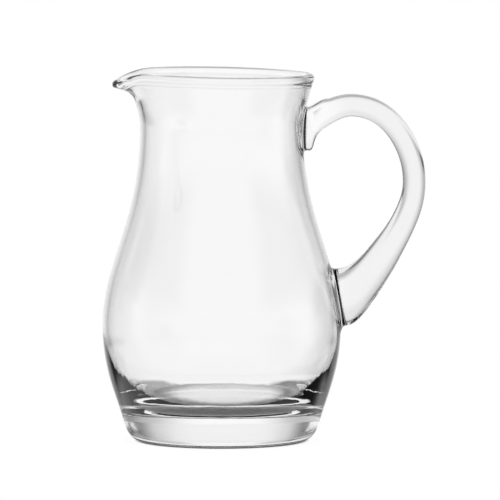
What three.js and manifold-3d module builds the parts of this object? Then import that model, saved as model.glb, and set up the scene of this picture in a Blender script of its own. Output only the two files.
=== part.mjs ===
// Clear glass carafe: a blown bowl with a pulled spout, a heavy solid base fused under it, and a
// handle drawn from a rod of hot glass and pressed onto the wall at both ends.
// Millimetres, +Z up. The origin is the centre of the flat underside, the handle is at +X and the
// spout at -X.
import * as THREE from 'three';
import { mergeVertices } from 'three/addons/utils/BufferGeometryUtils.js';
import Module from 'manifold-3d';

const wasm = await Module();
wasm.setup();

// Base: a solid round disc of glass with a flat underside
const baseHeight = 10;
const baseRadius = 49.4;
const baseFlatRadius = 42;
const baseEdgeRise = 4.5;

// Bowl: the heights follow one another upwards from the joint with the base
const floorThickness = 6;
const floorRadius = 32;
const wall = 2.8;
const bellyRise = 46;
const bellyRadius = 59.8;
const neckRise = 100;
const neckRadius = 40.6;
const mouthRise = 28.2;
const rimRadius = 46.3;
const rimBead = 4.5;
const footLean = THREE.MathUtils.degToRad(15);
const rimLean = THREE.MathUtils.degToRad(12);

// Spout: the stretch of rim pulled outwards and down, and how far below the rim the wall follows
const spoutPull = 8.6;
const spoutDrop = 5.4;
const spoutDepth = 16.2;
const spoutHalfAngle = THREE.MathUtils.degToRad(37);
const rimTilt = THREE.MathUtils.degToRad(1.2);

// Handle: heights of the joints are measured from the rim and from the belly
const upperJointDrop = 24.7;
const lowerJointRise = 16;
const crownRise = 8.3;
const crownReach = 24;
const gripReach = 36.7;
const gripDrop = 38.3;
const handleThickness = 11.4;
const handleWidth = 11.6;
const handleSquareness = 0.74;
const rootThickness = 29.5;
const rootWidth = 19;
const rootAngle = THREE.MathUtils.degToRad(25);
const tailLength = 18;
const tailThickness = 10.5;
const tailWidth = 9;
const tailDrop = 5.5;
const jointClearance = 0.3;

const bellyHeight = baseHeight + bellyRise;
const neckHeight = bellyHeight + neckRise;
const rimHeight = neckHeight + mouthRise;
const roundSegments = 60;
const xy = (x, y) => new THREE.Vector2(x, y);

// Points along a curve without its last one, which is the first of the next curve
function run(curve, count) {
  return curve.getPoints(count).slice(0, count);
}

function turned(profile) {
  const geometry = new THREE.LatheGeometry(profile, roundSegments);
  geometry.rotateX(Math.PI / 2);
  return geometry;
}

// Bead of the rim: its centre, and the places where the two faces of the wall run into it
const beadRadius = rimBead / 2;
const beadCentre = xy(rimRadius - beadRadius, rimHeight - beadRadius);
const beadJoin = Math.acos(Math.min(wall / rimBead, 0.95));
const beadFoot = beadCentre.y - beadRadius * Math.sin(beadJoin);

// One face of the wall from the belly up to the bead, set in from the outside by inset
function wallCurves(inset, mouthRadius) {
  const belly = xy(bellyRadius - inset, bellyHeight);
  const neck = xy(neckRadius - inset, neckHeight);
  const mouth = xy(mouthRadius, beadFoot);
  const flare = (beadFoot - neckHeight) * 0.5;
  const shoulder = new THREE.CubicBezierCurve(
    belly,
    xy(belly.x, belly.y + neckRise * 0.33),
    xy(neck.x, neck.y - neckRise * 0.47),
    neck,
  );
  const lip = new THREE.CubicBezierCurve(
    neck,
    xy(neck.x, neck.y + flare * 0.5),
    xy(mouth.x - flare * Math.sin(rimLean), mouth.y - flare * Math.cos(rimLean)),
    mouth,
  );
  return { belly, mouth, shoulder, lip };
}

const outside = wallCurves(0, beadCentre.x + beadRadius * Math.cos(beadJoin));
const inside = wallCurves(wall, beadCentre.x - beadRadius * Math.cos(beadJoin));
const footPull = bellyRise * 0.25;
const footCurve = new THREE.CubicBezierCurve(
  xy(baseRadius, baseHeight),
  xy(baseRadius + footPull * Math.sin(footLean), baseHeight + footPull * Math.cos(footLean)),
  xy(bellyRadius, bellyHeight - bellyRise * 0.45),
  outside.belly,
);
const outerFace = [...run(footCurve, 8), ...run(outside.shoulder, 11), ...run(outside.lip, 6)];

// Radius of the outside of the bowl at a height
function outerRadius(height) {
  const above = Math.max(1, outerFace.findIndex((point) => point.y > height));
  const low = outerFace[above - 1];
  const high = outerFace[above];
  return THREE.MathUtils.mapLinear(height, low.y, high.y, low.x, high.x);
}

// Base
function makeBase() {
  const edge = new THREE.CubicBezierCurve(
    xy(baseFlatRadius, 0),
    xy(baseFlatRadius + (baseRadius - baseFlatRadius) * 0.5, 0),
    xy(baseRadius - baseEdgeRise * Math.sin(footLean), baseHeight - baseEdgeRise * Math.cos(footLean)),
    xy(baseRadius, baseHeight),
  );
  return turned([xy(0, 0), ...edge.getPoints(8), xy(0, baseHeight)]);
}

// Bowl: the inside ends in a flat floor with a wide rounded corner, which leaves the glass thick where
// the wall meets the base
function makeBowl() {
  const floor = baseHeight + floorThickness;
  const corner = new THREE.CubicBezierCurve(
    inside.belly,
    xy(inside.belly.x, bellyHeight - (bellyHeight - floor) * 0.55),
    xy(floorRadius + (inside.belly.x - floorRadius) * 0.6, floor),
    xy(floorRadius, floor),
  );
  const bead = new THREE.EllipseCurve(
    beadCentre.x,
    beadCentre.y,
    beadRadius,
    beadRadius,
    -beadJoin,
    Math.PI + beadJoin,
  );
  const innerFace = [...run(inside.shoulder, 11), ...inside.lip.getPoints(6)].reverse();
  const geometry = turned([
    xy(0, baseHeight),
    ...outerFace,
    ...run(bead, 8),
    ...innerFace,
    ...corner.getPoints(10).slice(1),
    xy(0, floor),
  ]);
  const place = geometry.attributes.position;
  const spoutFoot = rimHeight - spoutDepth;
  for (let i = 0; i < place.count; i += 1) {
    const x = place.getX(i);
    const y = place.getY(i);
    const z = place.getZ(i);
    const climb = THREE.MathUtils.clamp((z - spoutFoot) / (beadFoot - spoutFoot), 0, 1);
    const follow = climb ** 3;
    const turn = Math.min(Math.abs(Math.atan2(y, -x)) / spoutHalfAngle, 1);
    const pull = (1 - turn ** 2) ** 2 * follow;
    const reach = 1 + (spoutPull * pull) / Math.max(Math.hypot(x, y), wall);
    const lift = -x * Math.tan(rimTilt) * follow;
    place.setXYZ(i, x * reach, y * reach, z - spoutDrop * pull + lift);
  }
  return geometry;
}

// Closed manifold body of a geometry, with the faces that have no area left out
function solid(geometry) {
  const bare = geometry.clone();
  bare.deleteAttribute('normal');
  bare.deleteAttribute('uv');
  const merged = mergeVertices(bare, 1e-4);
  const index = merged.index.array;
  const kept = [];
  for (let i = 0; i < index.length; i += 3) {
    const [a, b, c] = index.slice(i, i + 3);
    if (a !== b && b !== c && c !== a) kept.push(a, b, c);
  }
  const vertProperties = new Float32Array(merged.attributes.position.array);
  return new wasm.Manifold(new wasm.Mesh({ numProp: 3, vertProperties, triVerts: new Uint32Array(kept) }));
}

function geometryOf(body) {
  const mesh = body.getMesh();
  const geometry = new THREE.BufferGeometry();
  geometry.setAttribute('position', new THREE.BufferAttribute(mesh.vertProperties, 3));
  geometry.setIndex(new THREE.BufferAttribute(mesh.triVerts, 1));
  geometry.computeVertexNormals();
  return geometry;
}

// Centre line of the handle, from the upper joint over the crown and down to the lower joint
function handleLine() {
  const upper = rimHeight - upperJointDrop;
  const lower = bellyHeight + lowerJointRise;
  const start = xy(outerRadius(upper), upper);
  const crown = xy(start.x + crownReach, upper + crownRise);
  const grip = xy(bellyRadius + gripReach, crown.y - gripDrop);
  const end = xy(outerRadius(lower), lower);
  const fall = grip.y - lower;
  const line = new THREE.CurvePath();
  line.add(new THREE.CubicBezierCurve(
    start,
    xy(start.x + crownReach * 0.4, upper + crownRise * 0.36),
    xy(crown.x - crownReach * 0.4, crown.y),
    crown,
  ));
  line.add(new THREE.CubicBezierCurve(
    crown,
    xy(crown.x + (grip.x - crown.x) * 0.63, crown.y),
    xy(grip.x, grip.y + gripDrop * 0.43),
    grip,
  ));
  line.add(new THREE.CubicBezierCurve(
    grip,
    xy(grip.x, grip.y - fall * 0.47),
    xy(end.x + fall * 0.12 * Math.cos(rootAngle), end.y + fall * 0.12 * Math.sin(rootAngle)),
    end,
  ));
  return line;
}

// The rod keeps its thickness over the crown and the grip, where its section is a rounded square, and
// swells to an oval towards the lower joint. Both ends run on straight into the bowl, where they are
// cut off.
function makeHandle() {
  const rings = 40;
  const sides = 18;
  const line = handleLine();
  const length = line.getLength();
  const upperBury = handleThickness;
  const lowerBury = rootThickness / 2;
  const points = [];
  const faces = [];
  for (let i = 0; i <= rings; i += 1) {
    const place = THREE.MathUtils.lerp(-upperBury, length + lowerBury, i / rings);
    const along = THREE.MathUtils.clamp(place / length, 0, 1);
    const ahead = line.getTangentAt(along);
    const centre = line.getPointAt(along).addScaledVector(ahead, place - along * length);
    const swell = along ** 6;
    const thick = THREE.MathUtils.lerp(handleThickness, rootThickness, swell) / 2;
    const wide = THREE.MathUtils.lerp(handleWidth, rootWidth, swell) / 2;
    const square = THREE.MathUtils.lerp(handleSquareness, 1, swell);
    for (let k = 0; k < sides; k += 1) {
      const turn = (k / sides) * Math.PI * 2;
      const out = thick * Math.sign(Math.cos(turn)) * Math.abs(Math.cos(turn)) ** square;
      const aside = wide * Math.sign(Math.sin(turn)) * Math.abs(Math.sin(turn)) ** square;
      points.push(centre.x - ahead.y * out, aside, centre.y + ahead.x * out);
    }
  }
  const ring = (i, k) => i * sides + (k % sides);
  for (let i = 0; i < rings; i += 1) {
    for (let k = 0; k < sides; k += 1) {
      faces.push(ring(i, k), ring(i + 1, k), ring(i, k + 1));
      faces.push(ring(i, k + 1), ring(i + 1, k), ring(i + 1, k + 1));
    }
  }
  for (let k = 1; k < sides - 1; k += 1) {
    faces.push(ring(0, 0), ring(0, k), ring(0, k + 1));
    faces.push(ring(rings, 0), ring(rings, k + 1), ring(rings, k));
  }
  const rod = new THREE.BufferGeometry();
  rod.setAttribute('position', new THREE.Float32BufferAttribute(points, 3));
  rod.setIndex(faces);

  // The end of the rod is pressed down the neck below the upper joint
  const tailHeight = rimHeight - upperJointDrop - tailDrop;
  const tail = new THREE.SphereGeometry(0.5, 18, 12);
  tail.scale(tailThickness, tailWidth, tailLength);
  tail.translate(outerRadius(tailHeight), 0, tailHeight);

  // Both ends are cut to the outside of the bowl
  const shape = outerFace.map((point) => xy(point.x + jointClearance, point.y));
  const envelope = turned([xy(0, baseHeight), ...shape, xy(0, outerFace.at(-1).y)]);
  return geometryOf(solid(rod).add(solid(tail)).subtract(solid(envelope)));
}

const glass = new THREE.MeshStandardMaterial({
  color: 0xe9f0ef,
  roughness: 0.04,
  metalness: 0,
  transparent: true,
  opacity: 0.35,
});
const carafe = new THREE.Group();
carafe.name = 'carafe';
for (const [name, geometry] of [['bowl', makeBowl()], ['base', makeBase()], ['handle', makeHandle()]]) {
  const mesh = new THREE.Mesh(geometry, glass);
  mesh.name = name;
  carafe.add(mesh);
}
export default carafe;
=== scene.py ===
from math import atan2, copysign, cos, exp, hypot, pi, radians, sin, tan

import bmesh
import bpy
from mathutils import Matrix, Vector
from mathutils.geometry import interpolate_bezier


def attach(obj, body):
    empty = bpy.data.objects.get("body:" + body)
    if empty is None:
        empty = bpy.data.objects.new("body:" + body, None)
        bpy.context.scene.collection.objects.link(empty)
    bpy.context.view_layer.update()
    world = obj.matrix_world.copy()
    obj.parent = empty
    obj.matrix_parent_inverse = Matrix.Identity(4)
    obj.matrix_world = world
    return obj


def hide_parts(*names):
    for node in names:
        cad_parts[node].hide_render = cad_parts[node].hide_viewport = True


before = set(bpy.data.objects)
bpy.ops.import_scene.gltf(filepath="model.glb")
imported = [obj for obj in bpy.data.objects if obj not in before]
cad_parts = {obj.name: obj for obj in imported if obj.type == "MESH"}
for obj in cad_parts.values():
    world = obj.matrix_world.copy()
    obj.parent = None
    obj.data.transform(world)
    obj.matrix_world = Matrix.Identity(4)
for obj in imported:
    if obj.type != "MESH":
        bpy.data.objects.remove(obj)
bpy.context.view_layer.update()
scene = bpy.context.scene
scene.view_settings.view_transform = "Standard"


# Camera: the jug is seen from the side, spout to the left, from far off with a long lens and from
# a little above, so that the rim and the foot show as thin ellipses.
view_distance = 4.04
view_height = radians(4.7)
aim = Vector((0.01415, 0, 0.0949))
film_width = 36
focal_length = 582
sight_limit = 50

lens = bpy.data.cameras.new("camera")
lens.sensor_width = film_width
lens.lens = focal_length
lens.clip_end = sight_limit
camera = bpy.data.objects.new("camera", lens)
camera.location = aim + view_distance * Vector((0, -cos(view_height), sin(view_height)))
camera.rotation_euler = (pi / 2 - view_height, 0, 0)
scene.collection.objects.link(camera)
scene.camera = camera


# Studio: a white room hung with paper sheets, white all over to the eye and to plain light. Clear
# glass is drawn by what it bends into view, so rays off or through the glass see the sheets each in
# its tone, greyer gaps between them, a dark ceiling and, below the level, rings with dark breaks.
def rise(degrees):
    """Height of a direction that climbs so many degrees above the level."""
    return sin(radians(degrees))


def between(tree, value, start, end, first=0, last=1, soft=False):
    """Goes from first to last while the value goes from start to end."""
    node = tree.nodes.new("ShaderNodeMapRange")
    if soft:
        node.interpolation_type = "SMOOTHSTEP"
    node.inputs["From Min"].default_value = start
    node.inputs["From Max"].default_value = end
    node.inputs["To Min"].default_value = first
    node.inputs["To Max"].default_value = last
    tree.links.new(value, node.inputs["Value"])
    return node.outputs["Result"]


def reckon(tree, operation, *terms):
    """Does one sum with what other nodes give, or with plain numbers."""
    node = tree.nodes.new("ShaderNodeMath")
    node.operation = operation
    for socket, term in zip(node.inputs, terms):
        if isinstance(term, bpy.types.NodeSocket):
            tree.links.new(term, socket)
        else:
            socket.default_value = term
    return node.outputs["Value"]


def blend(tree, share, first, second):
    """Goes from the first colour to the second with the share; a plain number is a grey tone."""
    node = tree.nodes.new("ShaderNodeMix")
    node.data_type = "RGBA"
    tree.links.new(share, node.inputs["Factor"])
    for name, colour in (("A", first), ("B", second)):
        if isinstance(colour, bpy.types.NodeSocket):
            tree.links.new(colour, node.inputs[name])
        else:
            node.inputs[name].default_value = (colour, colour, colour, 1)
    return node.outputs["Result"]


def tones_round(tree, turn, spout_tone, stops, interpolation="EASE"):
    """Tones round the upright axis, by degrees: 0 at the handle, 90 behind the jug, 180 at the spout."""
    node = tree.nodes.new("ShaderNodeValToRGB")
    node.color_ramp.interpolation = interpolation
    ramp = node.color_ramp.elements
    ramp[0].color = ramp[1].color = (spout_tone, spout_tone, spout_tone, 1)
    for degrees, tone in stops:
        stop = ramp.new((degrees + 180) % 360 / 360)
        stop.color = (tone, tone, tone, 1)
    tree.links.new(turn, node.inputs["Fac"])
    return node.outputs["Color"]


sheet_tone_at_spout = 0.95
sheet_tones = [
    (187, 0.75), (196, 0.5), (205, 0.55), (216, 0.75), (230, 0.88), (310, 0.88), (324, 0.9), (338, 0.95),
    (352, 0.97), (6, 0.9), (18, 0.25), (32, 0.1), (46, 0.34), (56, 0.48), (64, 0.58), (71, 0.76),
    (77, 0.93), (83, 1), (90, 1), (97, 1), (103, 1), (109, 0.84), (116, 0.64), (124, 0.5),
    (132, 0.5), (142, 0.64), (154, 0.74), (166, 0.9), (174, 1),
]
widening_band = 0, rise(14)
widening = 0.6
fading_band = rise(3), rise(14)
fading_tone = 0.9
end_wall_band = 0.5, 0.8
end_wall_height = rise(6), rise(18)
end_wall_share = 0.9
end_wall_tone = 0.03
ceiling_band = rise(35), rise(60)
ceiling_tone = 0.08
upper_ring_band = rise(-7), rise(-11)
upper_ring_tones = [
    (-45, 1), (-15, 0.9), (8, 0.9), (24, 0.1), (50, 0.1), (58, 0.6), (72, 0.6), (82, 1),
    (101, 1), (111, 0.6), (117, 0.6), (125, 0.1), (150, 0.1), (166, 1),
]
middle_ring_band = rise(-14), rise(-18)
middle_ring_tones = [(-30, 1), (2, 1), (16, 0.1), (34, 0.1), (50, 1)]
lower_ring_band = rise(-26), rise(-38)
lower_ring_tones = [(-20, 1), (10, 0.12), (55, 0.12), (66, 0.5), (118, 0.5), (140, 1)]
white = 1

world = bpy.data.worlds.new("studio")
scene.world = world
world.use_nodes = True
room = world.node_tree
room.nodes.clear()
direction = room.nodes.new("ShaderNodeTexCoord")
split = room.nodes.new("ShaderNodeSeparateXYZ")
room.links.new(direction.outputs["Generated"], split.inputs["Vector"])
upward = split.outputs["Z"]
widened = between(room, upward, *widening_band, 1, widening)
level = room.nodes.new("ShaderNodeCombineXYZ")
room.links.new(reckon(room, "MULTIPLY", split.outputs["X"], widened), level.inputs["X"])
room.links.new(split.outputs["Y"], level.inputs["Y"])
compass = room.nodes.new("ShaderNodeTexGradient")
compass.gradient_type = "RADIAL"
room.links.new(level.outputs["Vector"], compass.inputs["Vector"])
bearing = compass.outputs["Fac"]

sheets = tones_round(room, bearing, sheet_tone_at_spout, sheet_tones, "B_SPLINE")
faded_sheets = room.nodes.new("ShaderNodeVectorMath")
faded_sheets.operation = "SCALE"
room.links.new(sheets, faded_sheets.inputs[0])
room.links.new(between(room, upward, *fading_band, 1, fading_tone), faded_sheets.inputs["Scale"])

at_ends = between(room, reckon(room, "ABSOLUTE", split.outputs["X"]), *end_wall_band, soft=True)
high_up = between(room, upward, *end_wall_height, 0, end_wall_share)
end_walls = reckon(room, "MULTIPLY", at_ends, high_up)
walls = blend(room, end_walls, faded_sheets.outputs["Vector"], end_wall_tone)
roofed = blend(room, between(room, upward, *ceiling_band, soft=True), walls, ceiling_tone)

upper_ring = tones_round(room, bearing, white, upper_ring_tones)
middle_ring = tones_round(room, bearing, white, middle_ring_tones)
lower_ring = tones_round(room, bearing, white, lower_ring_tones)
down_to_upper = blend(room, between(room, upward, *upper_ring_band), roofed, upper_ring)
middle_to_lower = blend(room, between(room, upward, *lower_ring_band), middle_ring, lower_ring)
whole_room = blend(room, between(room, upward, *middle_ring_band), down_to_upper, middle_to_lower)

ray = room.nodes.new("ShaderNodeLightPath")
glassy = reckon(room, "MAXIMUM", ray.outputs["Is Glossy Ray"], ray.outputs["Is Transmission Ray"])
room_light = room.nodes.new("ShaderNodeBackground")
room.links.new(blend(room, glassy, white, whole_room), room_light.inputs["Color"])
room_out = room.nodes.new("ShaderNodeOutputWorld")
room.links.new(room_light.outputs["Background"], room_out.inputs["Surface"])


# Floor: a round table top, lacquered pale and plain, half a millimetre below the glass. To the eye it
# is lost in the white of the room, apart from the jug's soft shadow. The glass sees the lacquer, a
# painted pool of light glowing beneath the jug, painted shade and light glowing in tones round about
# the foot, and white farther out.
table_radius = 0.083
table_gap = 0.0005
table_edges = 64
lacquer_tone = 0.55
# Painted shade and light: near the foot the glass sees the table glow in these tones, dark towards the
# handle and the spout, white in front and behind, in place of the jug's shadow.
painted_shade_at_spout = 0.1
painted_light_and_shade_tones = [
    (-165, 0.95), (-30, 0.95), (-8, 0.1), (50, 0.1), (64, 1), (116, 1), (128, 0.35), (176, 0.35),
]
foot_reach = 0.046
white_again = 0.056, 0.068
emission_from = foot_reach, 0.0495
open_from = 0.041, 0.044
open_share = 0.975
# Painted light: a glowing pool on the table beneath the jug, seen through the glass, standing in for
# light that the jug gathers there.
painted_light_pool_centre = 0.003, 0.012, 0
painted_light_pool_edge = 0.037, 0.023
painted_light_pool_share = 0.8

bm = bmesh.new()
bmesh.ops.create_circle(bm, cap_ends=True, segments=table_edges, radius=table_radius)
bmesh.ops.translate(bm, verts=bm.verts, vec=(0, 0, -table_gap))
floor_mesh = bpy.data.meshes.new("floor")
bm.to_mesh(floor_mesh)
bm.free()
floor = bpy.data.objects.new("floor", floor_mesh)
scene.collection.objects.link(floor)

table_top = bpy.data.materials.new("white_table_top")
table_top.use_nodes = True
top = table_top.node_tree
top.nodes.clear()
place = top.nodes.new("ShaderNodeTexCoord")
from_axis = top.nodes.new("ShaderNodeVectorMath")
from_axis.operation = "LENGTH"
top.links.new(place.outputs["Object"], from_axis.inputs[0])
reach = from_axis.outputs["Value"]
compass = top.nodes.new("ShaderNodeTexGradient")
compass.gradient_type = "RADIAL"
top.links.new(place.outputs["Object"], compass.inputs["Vector"])
ray = top.nodes.new("ShaderNodeLightPath")
to_the_eye = ray.outputs["Is Camera Ray"]

# Painted shade and light round the foot, glowing, seen only by the glass.
painted_shade_round_foot = tones_round(top, compass.outputs["Fac"], painted_shade_at_spout, painted_light_and_shade_tones)
beneath = reckon(top, "LESS_THAN", reach, foot_reach)
farther_out = between(top, reach, *white_again, soft=True)
plain_white = reckon(top, "MAXIMUM", reckon(top, "MAXIMUM", beneath, farther_out), to_the_eye)
table_glow_with_painted_shade = top.nodes.new("ShaderNodeEmission")
top.links.new(blend(top, plain_white, painted_shade_round_foot, white), table_glow_with_painted_shade.inputs["Color"])

# Painted light: the glowing pool beneath the jug, added to the table's glow.
distance_to_painted_pool = top.nodes.new("ShaderNodeVectorMath")
distance_to_painted_pool.operation = "DISTANCE"
distance_to_painted_pool.inputs[1].default_value = painted_light_pool_centre
top.links.new(place.outputs["Object"], distance_to_painted_pool.inputs[0])
painted_light_pool = between(top, distance_to_painted_pool.outputs["Value"], *painted_light_pool_edge, 0, painted_light_pool_share, soft=True)
emission_with_painted_pool = reckon(top, "MAXIMUM", between(top, reach, *emission_from), painted_light_pool)
open_table = between(top, reach, *open_from, 0, open_share)
emission_share = reckon(top, "MAXIMUM", emission_with_painted_pool, reckon(top, "MULTIPLY", open_table, to_the_eye))

lacquer = top.nodes.new("ShaderNodeBsdfDiffuse")
lacquer.inputs["Color"].default_value = (lacquer_tone, lacquer_tone, lacquer_tone, 1)
cover = top.nodes.new("ShaderNodeMixShader")
top.links.new(emission_share, cover.inputs["Fac"])
top.links.new(lacquer.outputs["BSDF"], cover.inputs[1])
top.links.new(table_glow_with_painted_shade.outputs["Emission"], cover.inputs[2])
top_out = top.nodes.new("ShaderNodeOutputMaterial")
top.links.new(cover.outputs["Shader"], top_out.inputs["Surface"])
floor_mesh.materials.append(table_top)


# Bowl and base: clear soda-lime glass, blown with a round belly, a narrow neck and a flared mouth
# whose edge is fire-polished to a bead. The base is a heavy disc fused under the round bottom.
# One outline, in millimetres, is turned about the axis: underside, outside, bead, inside and floor.
mm = 0.001
cage_steps = 64
belly = Vector((59.7, 56))
neck = Vector((40.6, 156))
wall = 2.8
base_radius = 49.4
base_height = 10
flat_radius = 42
underside_radii = 0, 20, 36, 40
inner_floor = 16
floor_radius = 32
floor_shares = 0, 0.5, 0.93
bead = 2.3
bead_gain = 1.06
bead_degrees = range(-40, 206, 35)
rim = Vector((46.3 - bead, 184.1 - bead))
mouth_outside = rim + Vector((1.5, -2.6))
mouth_inside = rim + Vector((-1.6, -2.6))
# How far each curve keeps its direction at its two ends
shoulder_start, shoulder_end = Vector((0, 33)), Vector((0, 47))
lip_start, lip_end = Vector((0, 6)), Vector((2.6, 12))
edge_start, edge_end = Vector((3.7, 0)), Vector((1.2, 4.4))
flank_start, flank_end = Vector((3, 11.1)), Vector((0, 20.7))
bottom_start, bottom_end = Vector((15, 0)), Vector((0, 17))
shoulder_points, lip_points, edge_points, flank_points, bottom_points = 15, 8, 6, 8, 14


def curve(start, towards, back, end, count):
    return [Vector((p[0], p[1])) for p in interpolate_bezier(start, towards, back, end, count)]


def wall_line(inset, mouth):
    low, high = belly - Vector((inset, 0)), neck - Vector((inset, 0))
    shoulder = curve(low, low + shoulder_start, high - shoulder_end, high, shoulder_points)
    lip = curve(high, high + lip_start, mouth - lip_end, mouth, lip_points)
    return shoulder[:-1] + lip


flat = Vector((flat_radius, 0))
foot = Vector((base_radius, base_height))
edge = curve(flat, flat + edge_start, foot - edge_end, foot, edge_points)
flank = curve(foot, foot + flank_start, belly - flank_end, belly, flank_points)
outside = edge[:-1] + flank[:-1] + wall_line(0, mouth_outside)
bead_turns = [radians(degrees) for degrees in bead_degrees]
bead_line = [rim + bead_gain * bead * Vector((cos(a), sin(a))) for a in bead_turns]
inside = wall_line(wall, mouth_inside)
hollow = inside[0]
corner = Vector((floor_radius, inner_floor))
bottom = [Vector((floor_radius * share, inner_floor)) for share in floor_shares]
bottom += curve(corner, corner + bottom_start, hollow - bottom_end, hollow, bottom_points)
underside = [Vector((radius, 0)) for radius in underside_radii]
outline = underside + outside + bead_line + inside[::-1] + bottom[-2::-1]

# Smoothing draws a round cage inwards, so the cage is made larger by this much
round_gain = 1 / (2 / 3 + cos(2 * pi / cage_steps) / 3)
merge_distance = 1e-6
bm = bmesh.new()
points = [bm.verts.new((p.x * mm * round_gain, 0, p.y * mm)) for p in outline]
profile = [bm.edges.new(pair) for pair in zip(points, points[1:])]
bmesh.ops.spin(
    bm, geom=points + profile, cent=(0, 0, 0), axis=(0, 0, 1),
    angle=2 * pi, steps=cage_steps, use_merge=True,
)
bmesh.ops.remove_doubles(bm, verts=bm.verts, dist=merge_distance)
bmesh.ops.dissolve_degenerate(bm, edges=bm.edges, dist=merge_distance / 10)
bmesh.ops.recalc_face_normals(bm, faces=bm.faces)


# Spout: not a piece of its own. The soft rim is pulled outwards and down at the side opposite the
# handle, most of all in a narrow tip, and the wall below follows it over the last few millimetres.
# The whole rim leans by a little over a degree.
spout_pull = 8.4 * mm
spout_drop = 5.4 * mm
spout_foot = 168 * mm
spout_half_angle = radians(37)
tip_angle = radians(13)
tip_share = 0.75
bead_foot = 180 * mm
bead_swell = 0.15
rim_lean = radians(1.2)

for v in bm.verts:
    softness = min(max((v.co.z - spout_foot) / (bead_foot - spout_foot), 0), 1) ** 3
    off_centre = abs(atan2(v.co.y, -v.co.x))
    spread = min(off_centre / spout_half_angle, 1)
    hollow_pull = (1 - tip_share) * (1 - spread ** 2) ** 2
    tip_pull = tip_share * exp(-(off_centre / tip_angle) ** 2)
    pull = (hollow_pull + tip_pull) * softness
    outward = Vector((v.co.x, v.co.y, 0)).normalized()
    if v.co.z > bead_foot:
        bead_centre = outward * rim.x * mm * round_gain
        bead_centre.z = rim.y * mm
        v.co += (v.co - bead_centre) * bead_swell * pull
    v.co += outward * spout_pull * pull
    v.co.z -= spout_drop * pull + v.co.x * tan(rim_lean) * softness


# Handle: a rod of the same glass, laid on hot at the neck, where its end is drawn down into a small
# tail, bent over to a loop and pressed on again above the belly, where it swells to a broad pad.
# It grows out of an opening in the outer wall and is joined to a second one, as the glass is fused.
patch_faces = 4
rod_sides = 4 * patch_faces
rod_gain = 1 / (2 / 3 + cos(2 * pi / rod_sides) / 3)
rod_half_height = 5.7
rod_half_width = 5.8
rod_squareness = 0.74
pad_rings = 8
lowest_joint = 12
hair = 0.01
# Lowest and highest point of each joint, and half its width
neck_joint = 145.2, 166.8, 6.2
belly_joint = 57.2, 85.6, 9.6
# Edges of the rod in the side view, lower then upper, and half its width, from the neck outwards
tail = [
    ((43.2, 144.4), (43.6, 167.2), 5.6),
    ((45.4, 145.2), (44.8, 167.8), 5.3),
    ((46.1, 148.4), (46.3, 168.5), 5.3),
    ((47.2, 152.2), (48.6, 169.6), 5.5),
    ((50.4, 155.6), (51.9, 171.0), 5.8),
]
pad = [
    ((90.8, 126.6), (102.2, 126.6), 5.8),
    ((88.7, 119.2), (100.6, 116.4), 5.9),
    ((84.4, 110.2), (96.0, 104.7), 6.2),
    ((79.2, 103.0), (90.6, 94.2), 6.7),
    ((74.2, 97.0), (86.6, 86.4), 7.3),
    ((69.6, 91.9), (82.0, 78.9), 8.0),
    ((66.0, 88.6), (77.6, 72.2), 8.6),
    ((63.0, 86.8), (73.2, 65.4), 9.1),
    ((60.6, 86.0), (68.6, 60.0), 9.4),
    ((58.4, 85.8), (63.8, 56.6), 9.6),
]
# The loop between them has an even section along this line: bend, crown and grip
bend, bend_lead = Vector((55.4, 165.2)), Vector((3, 1.4))
crown, crown_rise, crown_fall = Vector((65.3, 167.8)), Vector((3.6, 0)), Vector((19.7, 0))
grip, grip_lead = Vector((96.5, 129.4)), Vector((0, 16.5))
rise_points, fall_points = 3, 8


def wall_radius(height):
    line = [p for p in outside if p.y > lowest_joint]
    for low, high in zip(line, line[1:]):
        if low.y <= height <= high.y:
            return low.x + (high.x - low.x) * (height - low.y) / (high.y - low.y)


def joint_opening(lowest, highest, half_width):
    """Opens the outer wall at the handle and gives the hole's corners, from its top towards +Y."""
    heights = sorted({round(p.y, 4) for p in outside})
    middle, half_height = (lowest + highest) / 2, (highest - lowest) / 2
    spans = list(zip(heights, heights[patch_faces:]))
    bottom_row, top_row = min(spans, key=lambda span: abs(sum(span) / 2 - middle))
    half_turn = patch_faces / 2 * 2 * pi / cage_steps
    open_already = {e for e in bm.edges if e.is_boundary}
    patch = []
    for f in bm.faces:
        c = f.calc_center_median() / mm
        if c.x > 0 and abs(atan2(c.y, c.x)) < half_turn and bottom_row < c.z < top_row:
            if hypot(c.x, c.y) > wall_radius(c.z) - wall / 2:
                patch.append(f)
    bmesh.ops.delete(bm, geom=patch, context="FACES")
    hole = [e for e in bm.edges if e.is_boundary and e not in open_already]
    centre = (bottom_row + top_row) / 2 * mm
    turns = {v: (atan2(v.co.y, v.co.z - centre) + hair) % (2 * pi) for e in hole for v in e.verts}
    corners = sorted(turns, key=turns.get)
    for k, v in enumerate(corners):
        a = 2 * pi * k / rod_sides
        y, z = half_width * sin(a), middle + half_height * cos(a)
        r = wall_radius(z) * round_gain
        v.co = Vector(((r * r - y * y) ** 0.5, y, z)) * mm
    return corners, hole


ring, hole = joint_opening(*neck_joint)
pad_hole = joint_opening(*belly_joint)[1]

loop_line = curve(bend, bend + bend_lead, crown - crown_rise, crown, rise_points)[:-1]
loop_line += curve(crown, crown + crown_fall, grip + grip_lead, grip, fall_points)
loop = []
for k, centre in enumerate(loop_line[:-1]):
    ahead = (loop_line[k + 1] - loop_line[max(k - 1, 0)]).normalized()
    across = Vector((-ahead.y, ahead.x)) * rod_half_height
    loop.append((centre - across, centre + across, rod_half_width))

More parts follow.
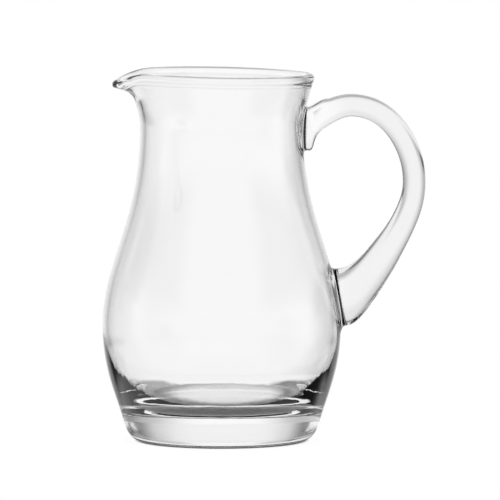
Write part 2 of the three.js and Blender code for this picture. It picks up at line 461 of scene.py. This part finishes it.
rings = tail + loop + pad
for step, (lower, upper, half_width) in enumerate(rings):
    rounding = max(0, step - len(rings) + pad_rings) / (pad_rings - 1)
    power = rod_squareness + (1 - rod_squareness) * rounding
    grown = bmesh.ops.extrude_edge_only(bm, edges=hole)["geom"]
    fresh = {v for v in grown if isinstance(v, bmesh.types.BMVert)}
    hole = [e for e in grown if isinstance(e, bmesh.types.BMEdge) and e.is_boundary]
    ring = [next(e.other_vert(v) for e in v.link_edges if e.other_vert(v) in fresh) for v in ring]
    lower, upper = Vector(lower), Vector(upper)
    middle, half_height = (lower + upper) / 2, (upper - lower) / 2
    for k, v in enumerate(ring):
        a = 2 * pi * k / rod_sides
        p = middle + half_height * copysign(abs(cos(a)) ** power, cos(a)) * rod_gain
        y = half_width * copysign(abs(sin(a)) ** power, sin(a)) * rod_gain
        v.co = Vector((p.x, y, p.y)) * mm
bmesh.ops.bridge_loops(bm, edges=hole + pad_hole)
bmesh.ops.recalc_face_normals(bm, faces=bm.faces)


# Jug: bowl, base, spout and handle are one glass once they are fused, so they are one smooth piece.
# The glass is clear and colourless, polished by the fire, a shade greyer along the drawn rod, and
# faintly wavy in the thick ring above the base.
smoothing = 2
wall_tone = 0.973
rod_tone = 0.893
rod_from = 0.05, 0.066
glass_bend = 1.5
wavy_radius = 0.026, 0.036
wavy_top = 0.044, 0.026
wavy_foot = 0.010, 0.0155
wave_scale = 90
wave_detail = 2
wave_strength = 0.08
wave_depth = 0.002

carafe_mesh = bpy.data.meshes.new("carafe")
bm.to_mesh(carafe_mesh)
bm.free()
carafe_mesh.shade_smooth()
carafe = bpy.data.objects.new("carafe", carafe_mesh)
scene.collection.objects.link(carafe)
smooth = carafe.modifiers.new("smooth", "SUBSURF")
smooth.levels = smooth.render_levels = smoothing
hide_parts("bowl", "base", "handle")
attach(carafe, "root")

glass = bpy.data.materials.new("clear_glass")
glass.use_nodes = True
melt = glass.node_tree
shader = melt.nodes["Principled BSDF"]
shader.inputs["Roughness"].default_value = 0
shader.inputs["IOR"].default_value = glass_bend
shader.inputs["Transmission Weight"].default_value = 1
place = melt.nodes.new("ShaderNodeTexCoord")
split = melt.nodes.new("ShaderNodeSeparateXYZ")
melt.links.new(place.outputs["Object"], split.inputs["Vector"])
along_rod = between(melt, split.outputs["X"], *rod_from, soft=True)
melt.links.new(blend(melt, along_rod, wall_tone, rod_tone), shader.inputs["Base Color"])

flattened = melt.nodes.new("ShaderNodeVectorMath")
flattened.operation = "MULTIPLY"
flattened.inputs[1].default_value = (1, 1, 0)
melt.links.new(place.outputs["Object"], flattened.inputs[0])
from_axis = melt.nodes.new("ShaderNodeVectorMath")
from_axis.operation = "LENGTH"
melt.links.new(flattened.outputs["Vector"], from_axis.inputs[0])
in_ring = between(melt, from_axis.outputs["Value"], *wavy_radius, soft=True)
below_top = between(melt, split.outputs["Z"], *wavy_top, soft=True)
above_foot = between(melt, split.outputs["Z"], *wavy_foot, soft=True)
wavy = reckon(melt, "MULTIPLY", reckon(melt, "MULTIPLY", in_ring, below_top), above_foot)
waves = melt.nodes.new("ShaderNodeTexNoise")
waves.inputs["Scale"].default_value = wave_scale
waves.inputs["Detail"].default_value = wave_detail
melt.links.new(place.outputs["Object"], waves.inputs["Vector"])
bump = melt.nodes.new("ShaderNodeBump")
bump.inputs["Strength"].default_value = wave_strength
bump.inputs["Distance"].default_value = wave_depth
melt.links.new(reckon(melt, "MULTIPLY", waves.outputs["Fac"], wavy), bump.inputs["Height"])
melt.links.new(bump.outputs["Normal"], shader.inputs["Normal"])
carafe_mesh.materials.append(glass)
